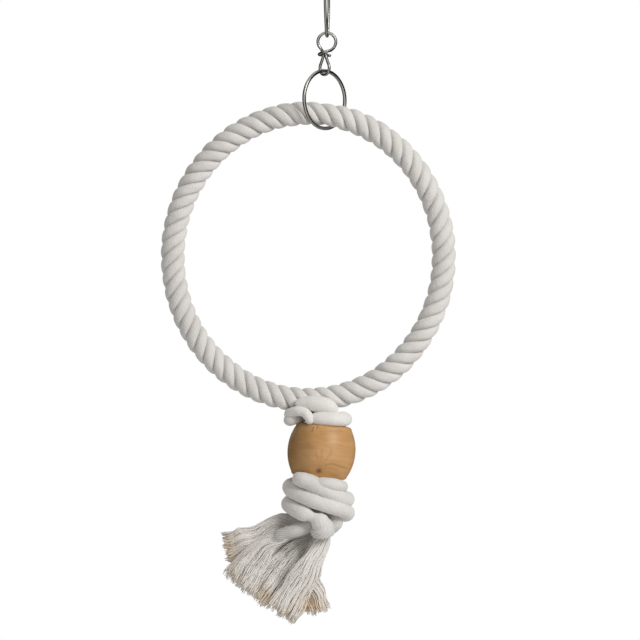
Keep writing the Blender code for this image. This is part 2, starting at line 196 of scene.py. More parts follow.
# The first strand has a lump low on the right: height and reach, how far to the right, and how much fuller
FRONT_LEG = 0
LUMP_Z = -386.5
LUMP_REACH = 6.0
LUMP_RIGHT = 3.0
LUMP_FULL = 0.7
# Between these heights it comes forward under the bead: x, y, z and radius
BULGE_HEIGHTS = (-352.0, -370.0)
FRONT_BULGE = [
    (-3.0, -9.0, -360.4, 3.2), (-7.5, -15.0, -360.6, 3.8), (-6.0, -20.0, -359.6, 4.2),
    (0.5, -21.0, -359.9, 4.4), (6.6, -18.6, -361.0, 4.5), (10.2, -13.0, -362.0, 4.3),
    (9.6, -6.0, -363.4, 4.0),
]
# The fifth strand's uppermost turn hangs lower to the right, and the slope runs out between these degrees
BAND_LEG = 4
BAND_SLOPE = 0.2
BAND_DEGREES = (380.0, 320.0)
# It shows at the left above the bead, down to this height: x, y, z and radius
STRAND_TOP_Z = -322.0
STRAND_TOP = [
    (-23.5, 4.5, -315.2, 3.4), (-26.4, -1.5, -315.8, 3.8), (-25.6, -7.0, -316.0, 4.0),
    (-22.0, -6.4, -315.2, 3.6), (-15.6, -2.4, -314.2, 3.0), (-9.4, -2.8, -315.8, 3.0),
    (-7.6, -3.6, -319.4, 3.0),
]

# Tassel tails, in mm, as in the CAD source: x, y, z, half width, half thickness
TAIL_GAP = 1.3
TAIL_RUN = 3.0
TAIL_STEP = 1.0
TAILS = [
    [(-4.4, -1.0, -403.0, 4.3, 4.0), (-8.4, -0.6, -413.0, 4.3, 3.9), (-10.3, 0.2, -427.0, 4.6, 3.8),
     (-6.8, 0.0, -439.0, 5.2, 3.6), (-2.8, -0.4, -449.5, 5.8, 3.3)],
    [(-13.0, 18.2, -392.6, 4.4, 4.2), (-13.4, 17.0, -402.0, 5.0, 4.0), (-14.0, 14.2, -417.0, 7.0, 3.8),
     (-18.5, 9.4, -450.5, 9.0, 3.2)],
    [(-16.0, 7.4, -401.5, 5.4, 4.2), (-27.0, 5.6, -411.5, 9.0, 3.7), (-39.5, 3.8, -427.5, 11.4, 3.3),
     (-50.5, 2.6, -441.5, 12.0, 2.9)],
    [(-31.6, 0.5, -386.0, 4.9, 4.3), (-37.0, 0.3, -388.2, 5.4, 4.1), (-42.0, 0.0, -392.4, 6.6, 3.7),
     (-48.5, -0.3, -397.6, 8.4, 3.4), (-58.5, -0.6, -402.6, 10.2, 3.2), (-71.5, -1.2, -406.4, 11.2, 2.9)],
    [(-3.0, -12.4, -400.4, 4.5, 4.3), (-5.6, -13.2, -406.6, 4.8, 4.2), (-10.0, -14.2, -413.5, 5.6, 4.1),
     (-16.0, -13.8, -425.0, 7.6, 3.9), (-32.0, -10.4, -452.0, 10.4, 3.3)],
    [(-30.5, -12.4, -395.4, 4.8, 4.4), (-36.5, -11.4, -398.4, 5.4, 4.1), (-43.5, -10.4, -403.0, 7.0, 3.7),
     (-53.5, -9.2, -415.0, 9.4, 3.3), (-64.0, -7.8, -430.0, 10.8, 2.9)],
]
# How far each strand stays twisted before its yarns come apart, in mm
TWISTED = [9.0, 12.0, 8.0, 17.0, 3.0, 21.0]
# The twisted part: its largest radius in mm, and how full it is at shares of its length, END_FULL first
TWISTED_RADIUS = 5.0
TWISTED_SHARES = [0.0, 0.6, 1.0]
TWISTED_THIN = [0.92, 0.5]
# Between which lengths past the solid's end, in mm, the yarns come out and the painted shade sets in
RELIEF_RUN = [-6.0, 4.0]
LOOSE_SHADE_RUN = [-12.0, 6.0]

# Loose yarns: how many, points along and round each, radius in mm, its range and its taper along the yarn
YARNS_PER_TAIL = 300
YARN_ROWS = 26
YARN_SIDES = 4
YARN_RADIUS = 0.41
YARN_RADII = (0.85, 1.2)
YARN_TAPER = ([0.0, 0.92, 1.0], [1.0, 0.95, 0.5])
# Yarns lie in an even spiral over the tail's section, and so do the locks that they draw together in
SPIRAL_TURN = 2.39996
LOCKS = 26
LOCK_PULL = 0.36
# How far they turn off that spiral in radians, and by which share they are longer or shorter than the tail
YARN_SPIN = 0.15
YARN_ENDS = (-0.05, 0.02)
LOCK_SPIN = 0.3
LOCK_ENDS = (-0.05, 0.025)
# Where yarns start to come loose, as a share of the twisted part, and over which length in mm
LOOSE_FROM = 0.7
LOOSE_RUN = 26.0
# The twist goes on for this length past the twisted part, and its pitch at the knot, in mm
UNTWIST_RUN = 8.0
TWIST_PITCH = 34.0
# How wide the bundle is at the knot, after the twisted part, this length further on in mm, and at its end
SPREAD_RUN = 12.0
SPREAD = [0.78, 0.84, 1.0, 1.06]
# How much wider each tail fans out on its upper and on its lower side
FAN_UP = [1.9, 1.0, 1.6, 1.1, 1.3, 1.0]
FAN_DOWN = [1.0, 1.0, 1.0, 1.3, 1.35, 1.35]
# How much of that shows at the knot, this length further on in mm, at a share of the length, and at the end
FAN_RUN = 8.0
FAN_UNTIL = 0.6
FAN_SHARES = [0.2, 1.0, 0.9, 0.3]
# How far each tail bends forward, and over which length, in mm
FORWARD = [5.0, 3.0, 6.0, 2.0, 0.0, 0.0]
FORWARD_RUN = 14.0
# Waves of the locks in mm: how many, their lengths, how they shift from lock to lock, and their size
LOCK_WAVES = 5
WAVE_LENGTHS = (14.0, 40.0)
WAVE_SHIFT = 2.4
WAVE_SIZE = 0.36
# Each yarn's own wave in mm, and how far yarns stray, some of them further
OWN_LENGTHS = (6.0, 15.0)
OWN_SIZES = (0.08, 0.4)
STRAY = 0.5
FAR_SHARE = 0.04
FAR_STRAY = 1.4
# Where yarn ends have turned tan: x, z and reach in mm, how tan, and how much painted shade darkens them
TAN_SPOTS = [
    (-11.0, -445.0, 7.5, 1.0, 0.0), (-43.0, -438.5, 5.5, 0.7, 0.0), (-72.5, -408.0, 10.0, 0.6, 0.55),
    (-65.0, -425.0, 5.0, 0.3, 0.1), (-30.0, -452.0, 6.0, 0.3, 0.0),
]
TAN_RANGE = (0.4, 1.2)
# How tan all yarn is, and its tips from this share of the length on
TAN_ALL = 0.05
TAN_TIPS = 0.12
TIPS_FROM = 0.8
# How much lighter loose yarn is painted against the yarns' shade on each other, how much yarns differ, and
# over which mm the roots' painted shade fades
LOOSE_YARN_PAINTED_LIGHT = 1.18
YARN_TONE_RANGE = 0.06
ROOT_RUN = 18.0
# UV of a yarn: its width, and the step from one yarn to the next
YARN_UV_WIDTH = 0.3
YARN_UV_STEP = 0.37

# Bead, in mm
BEAD_AT = (-3.85, 0.0, -337.75)
BEAD_TILT = math.radians(6.0)
BEAD_RADIUS = 23.8
BEAD_HALF_HEIGHT = 18.6
BEAD_CURVE_HEIGHT = 28.5
BEAD_LEVELS = 121
BEAD_SIDES = 480
BEAD_UV_STEP = 0.01
BORE_RADIUS = 10.4
# Rounded rim and mouth: height, width of the rim's round part and start of its flat part for that height
RIM = 2.6
RIM_WIDTH = 1.2
FLAT_FROM = 1.4
FLAT_ROWS = 8
RIM_TURNS = np.radians(np.arange(9, 91, 9))
MOUTH = 1.4
MOUTH_TURNS = np.radians([30, 60, 90])
# A nick in the upper rim: place and reach from the bead's middle, share inwards, and how far down
NICK_AT = np.array([-5.6, -18.0, 16.8])
NICK_REACH = np.array([1.0, 3.0, 1.6])
NICK_IN = 0.03
NICK_DOWN = 0.4
# Dark grain lines on its front, in mm from its middle: width, strength, then x and z along each
GRAIN_STEP = 0.3
GRAIN_LINES = [
    (0.8, 0.3, [(2.6, -9.4), (5.4, -8.4), (8.5, -8.5), (11.4, -9.6), (14.2, -10.7), (17.2, -11.6)]),
    (0.8, 0.12, [(0.2, -12.6), (3.6, -11.2), (7.6, -11.4), (11.0, -13.2)]),
    (0.8, 0.16, [(-1.0, 14.4), (4.0, 14.2), (9.0, 14.5), (14.0, 14.0)]),
    (0.7, 0.12, [(-0.4, 12.4), (4.0, 12.7), (8.0, 12.4), (11.6, 12.6)]),
    (0.5, 0.55, [(-5.2, 17.6), (-6.0, 15.6), (-6.6, 14.2)]),
    (1.1, 0.16, [(-1.8, -11.6), (-2.0, -8.0), (-2.8, -4.0), (-4.0, 0.0)]),
    (1.1, 0.14, [(-1.4, -11.8), (-0.6, -8.0), (0.0, -4.0), (0.2, 1.0)]),
    (1.1, 0.14, [(-1.2, -12.0), (1.4, -8.4), (3.6, -4.6), (5.8, -2.0), (7.0, 1.6)]),
    (1.1, 0.10, [(-2.4, -12.0), (-4.8, -8.6), (-8.0, -5.0), (-12.0, -2.6)]),
    (2.8, 0.2, [(-10.0, 4.4), (-8.2, 3.4), (-6.6, 2.8)]),
    (1.9, 0.9, [(-1.9, -13.2), (-1.6, -13.0)]),
]

# Wire, in mm
WIRE_SIDES = 16
WIRE_UV_STEP = 0.05
# Hook and gate: distance from the hook's middle line along HOOK_WAY, and height
HOOK_WAY = np.array([0.208, 0.978, 0.0])
HOOK_WIRE = 0.95
NOSE_HEIGHTS = np.linspace(-14.0, -7.2, 8)
BOW_RADIUS = 7.4
BOW_TURNS = np.linspace(0.0, math.pi, 37)
HOOK_LEG = [(-7.4, -6.45), (-7.2, -14.0), (-6.6, -24.0), (-5.0, -34.0), (-3.5, -41.0), (-3.2, -44.3)]
EYE_Z = -47.5
EYE_RADIUS = 3.2
EYE_TURNS = np.linspace(math.pi, FULL_TURN, 25)
HOOK_FOOT = (3.5, -42.2)
GATE = [(3.55, -41.7), (5.0, -34.5), (6.0, -27.0), (5.7, -19.5), (5.0, -14.0), (4.9, -9.0)]
# Link: a round upper loop, a narrow lower loop given by one half, and the wrapped waist
LINK_WIRE = 1.05
LOOP_AT = np.array([-0.1, 0.0, -51.34])
LOOP_RADIUS = 6.3
LOOP_TURNS = np.radians([225, 200, 170, 140, 110, 80, 50, 20, -10, -38])
NECK_X = -1.7
LOWER_LOOP_WAY = np.array([0.7071, -0.7071, 0.0])
LOWER_LOOP_HALF = [
    (1.45, -58.9), (1.45, -61.5), (2.6, -64.5), (4.4, -68.3), (4.2, -71.6), (2.3, -73.8), (0.0, -74.3),
]
WAIST = [
    (2.9, -1.9, -57.2), (1.1, -3.3, -57.9), (-0.9, -3.9, -58.4), (-3.8, -2.4, -59.2),
    (-5.5, 0.9, -60.0), (-4.7, 3.2, -60.3), (-2.6, 3.9, -60.5), (0.2, 2.4, -60.7), (2.0, -0.6, -61.0),
]
# Plain ring
O_RING_WIRE = 1.3
O_RING_RADIUS = 20.15
O_RING_AT = np.array([NECK_X, 0.0, -91.8])
O_RING_ROWS = 120

# Looks. Colours are red, green and blue, and a ramp has two stops, each a place and a colour
WHITE = (1.0, 1.0, 1.0)
COTTON_PLAIN = (0.78, 0.75, 0.71)
COTTON_RAMP = [(0.3, (0.76, 0.73, 0.69)), (0.7, (0.85, 0.825, 0.79))]
FIBRE_RAMP = [(0.3, (0.88, 0.87, 0.86)), (0.65, WHITE)]
FIBRE_SCALE = (9.0, 55.0, 1.0)
TAN_COLOUR = (0.86, 0.65, 0.42, 1.0)
WOOD_PLAIN = (0.47, 0.26, 0.11)
WOOD_RAMP = [(0.32, (0.53, 0.28, 0.10)), (0.68, (0.635, 0.36, 0.155))]
GRAIN_RAMP = [(0.34, (0.84, 0.81, 0.78)), (0.55, WHITE)]
GRAIN_AMOUNT = 0.6
GRAIN_SCALE = (60.0, 60.0, 480.0)
GRAIN_WARP = (0.006, 0.006, 0.010)
SLOW_SCALE = (30.0, 30.0, 90.0)
MARK_COLOUR = (0.12, 0.055, 0.02, 1.0)
# Painted shade on the bead's left side, from one place to another in metres
SHADED_SIDE_RAMP = [(0.0, (0.58, 0.60, 0.56)), (1.0, WHITE)]
SHADED_SIDE_PLACES = (-0.024, -0.006)
PLATED_PLAIN = (0.34, 0.335, 0.31)
PLATED_TINT = (0.4, 0.38, 0.35, 1.0)
CORE_PLAIN = (0.36, 0.37, 0.39)
FLOOR_PLAIN = (0.86, 0.86, 0.86)
CARD_PLAIN = (0.03, 0.03, 0.03)
# Sockets of a node that mixes colours: factor and two colours, and the result
MIX_INPUTS = (0, 6, 7)
MIX_RESULT = 2

# Stage, in metres: strength of the light from all round, then name, place, size and power of each lamp
WORLD_LIGHT = 0.36
LAMPS = [
    ("key", (1.45, -1.5, 0.8), 1.0, 36.0),
    ("fill", (-1.6, -1.8, 0.2), 1.6, 4.0),
    ("back", (-0.5, 2.2, 0.3), 1.2, 14.0),
]
LAMPS_AIM = (-0.01, 0.0, -0.25)
FLOOR_SIDES = 96
FLOOR_RADIUS = 0.4
FLOOR_AT = (0.0, 0.0, -0.52)
# Dark cards that only reflections show: name, place, turn and size
QUARTER = math.pi / 2
CARDS = [
    ("card_left", (-0.75, 0.0, -0.15), (0.0, QUARTER, 0.0), (1.6, 2.0, 1.0)),
    ("card_right", (0.75, 0.0, -0.15), (0.0, QUARTER, 0.0), (1.6, 2.0, 1.0)),
    ("card_back", (0.0, 1.0, -0.15), (QUARTER, 0.0, 0.0), (1.5, 1.6, 1.0)),
]


def unit(vectors):
    return vectors / np.linalg.norm(vectors, axis=-1, keepdims=True)


def rise(values, start, end):
    """0 before start and 1 after end, and even between them. With start above end it falls."""
    return np.clip((values - start) / (end - start), 0.0, 1.0)


def hump(values, middle, reach):
    """1 at the middle, fading to 0 on both sides."""
    return np.exp(-((values - middle) / reach) ** 2)


def smooth(points, per_span):
    """Points of a smooth curve through the given ones, whatever their columns hold."""
    given = np.asarray(points, float)
    held = np.vstack([2 * given[0] - given[1], given, 2 * given[-1] - given[-2]])
    made = []
    for start in range(len(given) - 1):
        a, b, c, d = held[start:start + 4]
        for t in np.arange(per_span) / per_span:
            made.append(b + 0.5 * t * (c - a + t * (2 * a - 5 * b + 4 * c - d + t * (3 * (b - c) + d - a))))
    made.append(given[-1])
    return np.array(made)


def along(points):
    """Length along the points, from the first."""
    steps = np.linalg.norm(np.diff(points[:, :3], axis=0), axis=1)
    return np.concatenate([[0.0], np.cumsum(steps)])


def at_length(at, length, rows):
    """The columns of a line's rows, where it is as long as at says."""
    return np.stack([np.interp(at, length, column) for column in rows.T], 1)


def spaced(rows, step):
    """The same line with its rows about step mm apart."""
    length = along(rows)
    count = max(int(round(length[-1] / step)), 2)
    return at_length(np.linspace(0.0, length[-1], count + 1), length, rows)


def wander(rng, length, wave):
    """A slow random wave along a line, about from -1 to 1."""
    made = np.zeros_like(length)
    for times in WANDER_TIMES:
        made += np.sin(FULL_TURN * length / wave * times + rng.uniform(0.0, FULL_TURN)) / times
    return made / WANDER_SIZE


def ways_of(points, closed=False):
    """The way that a line goes at each of its points."""
    if closed:
        return unit(np.roll(points, -1, axis=0) - np.roll(points, 1, axis=0))
    return unit(np.gradient(points, axis=0))


def carried(ways):
    """Side vectors carried along a line without turning about it."""
    level = RIGHT if abs(ways[0][2]) >= STEEP else UP
    sides = [unit(np.cross(ways[0], level))]
    for way in ways[1:]:
        sides.append(unit(sides[-1] - way * np.dot(sides[-1], way)))
    return np.array(sides)


def tube_points(line, ways, distances, angles):
    """Points round a line, by row and side."""
    one = carried(ways)
    two = np.cross(ways, one)
    return (
        line[:, None]
        + (distances * np.cos(angles))[..., None] * one[:, None]
        + (distances * np.sin(angles))[..., None] * two[:, None]
    )


def tube_quads(rows, sides, closed=False):
    """Faces of a tube, which face outwards, and the row and side that each starts at."""
    row, side = np.meshgrid(np.arange(rows if closed else rows - 1), np.arange(sides), indexing="ij")
    next_row = (row + 1) % rows
    next_side = (side + 1) % sides
    corners = [(row, side), (row, next_side), (next_row, next_side), (next_row, side)]
    quads = np.stack([at_row * sides + at_side for at_row, at_side in corners], -1)
    return quads.reshape(-1, 4), row, side


def quad_uvs(u, v, row, side):
    """UV at the corners of each face of a tube, from the values along it and round it."""
    corner_u = np.stack([u[row], u[row], u[row + 1], u[row + 1]], -1)
    corner_v = np.stack([v[side], v[side + 1], v[side + 1], v[side]], -1)
    return np.stack([corner_u, corner_v], -1).reshape(-1, 2)


def mesh_of(name, points, faces, uvs, values):
    """A smooth mesh of points in mm, with a UV for each corner of a face and named values at its points."""
    mesh = bpy.data.meshes.new(name)
    mesh.from_pydata((points.reshape(-1, 3) * MM).tolist(), [], faces)
    layer = mesh.uv_layers.new(name="strand")
    layer.data.foreach_set("uv", uvs.astype(np.float32).ravel())
    for key, value in values.items():
        held = mesh.attributes.new(key, "FLOAT", "POINT")
        held.data.foreach_set("value", np.asarray(value, np.float32).ravel())
    mesh.shade_smooth()
    mesh.update()
    return mesh


def tube(name, points, u, values, closed=False):
    """A tube through points[along, around], with flat ends if it isn't closed. u is its UV along it."""
    rows, sides = points.shape[:2]
    quads, row, side = tube_quads(rows, sides, closed)
    faces = quads.tolist()
    uvs = quad_uvs(u, np.arange(sides + 1) / sides, row, side)
    if not closed:
        first = np.arange(sides)
        faces += [first[::-1].tolist(), (first + (rows - 1) * sides).tolist()]
        uvs = np.concatenate([uvs, np.zeros((2 * sides, 2))])
    return mesh_of(name, points, faces, uvs, values)


def piece(mesh, look, body, node_name, place=None):
    """Puts a mesh on its body in place of a solid. place is a location and a turn, if it needs them."""
    obj = bpy.data.objects.new(mesh.name, mesh)
    bpy.context.scene.collection.objects.link(obj)
    mesh.materials.append(look)
    if place:
        obj.location, obj.rotation_euler = place
        bpy.context.view_layer.update()
    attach(obj, body)
    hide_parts(node_name)


def yarn_relief(rng, yarns, depth):
    """Radius factors round a strand, one low bump for each yarn as deep as depth says, and painted shade in
    the valleys between yarns.
    """
    turn = np.arange(yarns * POINTS_PER_YARN) / POINTS_PER_YARN
    valley = 1.0 - np.abs(np.cos(math.pi * turn))
    each = np.repeat(rng.uniform(-YARN_UNEVEN, YARN_UNEVEN, yarns), POINTS_PER_YARN)
    deep = np.reshape(depth, (-1, 1))
    factor = 1.0 - deep * valley + np.roll(each, POINTS_PER_YARN // 2)
    return factor, 1.0 - (VALLEY_DARK + DEEP_VALLEY_DARK * deep) * deep * valley ** VALLEY_NARROW


def rounded(points, radii, bulge):
    """The line with a few rows more at each end, where its tube closes in a dome. Also its ways."""
    ways = ways_of(points)
    head = points[0] - ways[0] * (radii[0] * bulge * np.sin(DOME))[:, None]
    tail = points[-1] + ways[-1] * (radii[-1] * bulge * np.sin(DOME[::-1]))[:, None]
    radii = np.concatenate([radii[0] * np.cos(DOME), radii, radii[-1] * np.cos(DOME[::-1])])
    ways = np.vstack([np.repeat(ways[:1], len(DOME), 0), ways, np.repeat(ways[-1:], len(DOME), 0)])
    return np.vstack([head, points, tail]), radii, ways


def roll(name, rows, seed, yarns):
    """A soft strand along rows of x, y, z, radius, depth of relief and painted light and shade, with yarns
    and closed ends.
    """
    rng = np.random.default_rng(seed)
    points, radii, ways = rounded(rows[:, :3], rows[:, 3], STRAND_END)
    length = along(points)
    depth, tone = np.pad(rows[:, 4:6], ((len(DOME), len(DOME)), (0, 0)), mode="edge").T
    factor, shade = yarn_relief(rng, yarns, depth)
    sides = yarns * POINTS_PER_YARN
    angles = FULL_TURN * np.arange(sides)[None] / sides + YARN_TWIST * length[:, None]
    uneven = 1.0 + ROLL_UNEVEN * wander(rng, length, ROLL_WAVE)
    made = tube_points(points, ways, (radii * uneven)[:, None] * factor, angles)
    return tube(name, made, length * UV_PER_MM, {"shade": shade * tone[:, None]})


def ring_path(count):
    """Even points along the rope's closed centre line, clockwise from the bottom, and the way outwards."""
    turn = np.linspace(0.0, FULL_TURN, RING_SAMPLES)
    line = np.stack([-RING_HALF_WIDTH * np.sin(turn), -RING_HALF_HEIGHT * np.cos(turn)], 1)
    length = along(line)
    turn = np.interp(np.arange(count) / count * length[-1], length, turn)
    zero = np.zeros(count)
    x = RING_X - RING_HALF_WIDTH * np.sin(turn)
    line = np.stack([x, zero, RING_Z - RING_HALF_HEIGHT * np.cos(turn)], 1)
    out = np.stack([-RING_HALF_HEIGHT * np.sin(turn), zero, -RING_HALF_WIDTH * np.cos(turn)], 1)
    return line, unit(out), length[-1]


def make_ring(look):
    """Three closed strands. Each is a soft oval in the rope's section, with yarns nearly along the rope."""
    count = LAY_TURNS * ROWS_PER_LAY
    sides = RING_YARNS * POINTS_PER_YARN
    line, out, length = ring_path(count)
    pressed = PRESSED * hump(line[:, 0], NECK_X, PRESSED_REACH) * (line[:, 2] > RING_Z)
    share = FULL_TURN * np.arange(count) / count
    slip = LAY_START
    for times, (cosine, sine) in enumerate(LAY_SLIP, 1):
        slip = slip + cosine * np.cos(times * share) + sine * np.sin(times * share)
    for strand in range(STRANDS):
        rng = np.random.default_rng(RING_SEED + strand)
        lay = LAY_TURNS * share + np.radians(slip) + FULL_TURN * strand / STRANDS
        radial = np.cos(lay)[:, None] * out + np.sin(lay)[:, None] * FRONT
        across = -np.sin(lay)[:, None] * out + np.cos(lay)[:, None] * FRONT
        factor, shade = yarn_relief(rng, RING_YARNS, KNOT_RELIEF)
        angles = FULL_TURN * np.arange(sides)[None] / sides + (YARN_TURNS * share)[:, None]
        ripple = np.zeros(count)
        for times in RIPPLES:
            ripple += np.cos(times * share + rng.uniform(*PHASES)) * RIPPLE_SIZE
        size = ((1.0 + ripple) * (1.0 - pressed))[:, None] * factor
        made = (
            (line + (LOBE_OFFSET * (1.0 - pressed))[:, None] * radial)[:, None]
            + (size * LOBE_OUT * np.cos(angles))[..., None] * radial[:, None]
            + (size * LOBE_ACROSS * np.sin(angles))[..., None] * across[:, None]
        )
        u = np.arange(count + 1) * length / count * UV_PER_MM
        shade = np.broadcast_to(shade, made.shape[:2])
        mesh = tube(f"ring_strand_{strand + 1}_laid", made, u, {"shade": shade}, True)
        piece(mesh, look, "rope", f"ring_strand_{strand + 1}")


def make_upper_knot(look):
    """The turn at the back is the front one, half a turn about the knot's middle and a little higher."""
    front = np.array(FRONT_TURN)
    middle = np.array([KNOT_X, 0.0, 0.0, 0.0])
    higher = np.array([0.0, 0.0, BACK_TURN_RISE, 0.0])
    back = (front - middle) * np.array([-1.0, -1.0, 1.0, 1.0]) + middle + higher
    for number, (name, node_name, route) in enumerate((
        ("upper_knot_front_roll", "upper_knot_front_turn", front),
        ("upper_knot_back_roll", "upper_knot_back_turn", back),
        ("upper_knot_loop_roll", "upper_knot_loop", KNOT_LOOP),
    )):
        rows = spaced(smooth(route, KNOT_SPAN), KNOT_STEP)
        # Painted light: the upper knot's cotton is painted lighter
        relief_and_light = np.broadcast_to([KNOT_RELIEF, KNOT_PAINTED_LIGHT], (len(rows), 2))
        mesh = roll(name, np.column_stack([rows, relief_and_light]), KNOT_SEED + number, KNOT_YARNS)
        piece(mesh, look, "rope", node_name)


def leg_rows(leg):
    """Rows of a strand end: height, distance from the knot's middle line, degrees about it, and radius."""
    start = LEG_START + 360.0 * leg / LEGS
    rows = [(height, NECK_DISTANCE, start, NECK_RADIUS) for height in NECK_HEIGHTS]
    if leg in CORES:
        return rows + CORES[leg]
    out, front, first, last, end = WRAPS[leg]
    rows += out
    for turn in np.arange(first, last + 1.0, WRAP_STEP):
        height = front - WRAP_PITCH * (turn - FRONT_DEGREES) / 360.0
        rows.append((height, WRAP_DISTANCE, turn, WRAP_RADIUS))
    return rows + end


def leg_route(leg, per_span):
    """Points and radii of a strand, in mm, with its degrees about the knot and its distance to the right."""
    height, distance, turn, radius = smooth(leg_rows(leg), per_span).T
    line = smooth(LEG_AXIS, SPAN)
    x = np.interp(-height, -line[:, 1], line[:, 0])
    across = distance * np.cos(np.radians(turn))
    tilted = np.where(across < 0.0, math.tan(LEFT_TILT), math.tan(RIGHT_TILT)) * across
    drop = tilted * rise(height, *TILT_HEIGHTS)
    points = np.stack([x + across, distance * np.sin(np.radians(turn)), height - drop], 1)
    return points, radius, turn, across


def soft_leg(leg):
    """Rows of x, y, z and radius of a soft strand, as far as its solid goes."""
    points, radii, turn, across = leg_route(leg, LEG_SPAN)
    below = rise(points[:, 2], *FULL_HEIGHTS)
    full = WRAP_FULL if leg in WRAPS else CORE_FULL
    length = along(points)
    ending = rise(length, length[-1] - END_RUN, length[-1])
    radii = radii * (1.0 + (full - 1.0) * below) * (1.0 + (END_FULL[leg] / full - 1.0) * ending)
    for place, wide, change in FOLDS.get(leg, []):
        radii = radii * (1.0 + change * below * hump(turn, place, wide))
    if leg == BAND_LEG:
        points[:, 2] -= BAND_SLOPE * across * below * rise(turn, *BAND_DEGREES)
        rows = np.column_stack([points, radii])
        return np.vstack([smooth(STRAND_TOP, LEG_SPAN), rows[rows[:, 2] < STRAND_TOP_Z]])
    if leg == FRONT_LEG:
        lump = hump(points[:, 2], LUMP_Z, LUMP_REACH)
        radii = radii * (1.0 + LUMP_FULL * lump)
        points[:, 0] += LUMP_RIGHT * lump
        rows = np.column_stack([points, radii])
        above, under = BULGE_HEIGHTS
        return np.vstack([rows[rows[:, 2] > above], smooth(FRONT_BULGE, LEG_SPAN), rows[rows[:, 2] < under]])
    return np.column_stack([points, radii])


def tail_rows(leg):
    """Rows of a tail, which starts along the end of its strand."""
    points, radii, _, _ = leg_route(leg, CAD_LEG_SPAN)
    way = unit(points[-1] - points[-2])
    start = [[*(points[-1] + way * run), radii[-1], radii[-1]] for run in (TAIL_GAP, TAIL_GAP + TAIL_RUN)]
    return np.array(start + TAILS[leg])


def make_legs(look):
    """Each strand stays twisted a little way into its tail, where its yarns come apart."""
    for leg in range(LEGS):
        rows = soft_leg(leg)
        tail = spaced(smooth(tail_rows(leg), SPAN), LEG_STEP)
        tail = tail[along(tail) < TWISTED[leg]]
        share = np.linspace(0.0, 1.0, len(tail))
        thin = np.interp(share, TWISTED_SHARES, [END_FULL[leg], *TWISTED_THIN])
        thick = np.minimum(tail[:, 3], TWISTED_RADIUS) * thin
        joined = np.vstack([rows, np.column_stack([tail[:, :3], thick])])
        length = along(joined)
        past = length - length[len(rows)]
        relief = np.interp(past, RELIEF_RUN, [KNOT_RELIEF, LOOSE_RELIEF])
        # Painted shade darkens each strand where it comes loose
        tone = np.interp(past, LOOSE_SHADE_RUN, [1.0, LOOSE_PAINTED_SHADE])
        joined = spaced(np.column_stack([joined, relief, tone]), LEG_STEP)
        mesh = roll(f"leg_strand_{leg + 1}_roll", joined, LEG_SEED + leg, LEG_YARNS)
        piece(mesh, look, "rope", f"leg_strand_{leg + 1}")


def spiral(numbers, count, spin):
    """Places in an even spiral over a round section of radius 1, with some spin of their own."""
    part = np.sqrt((numbers + 0.5) / count)
    turn = numbers * SPIRAL_TURN + spin
    return np.stack([part * np.cos(turn), part * np.sin(turn)], -1)


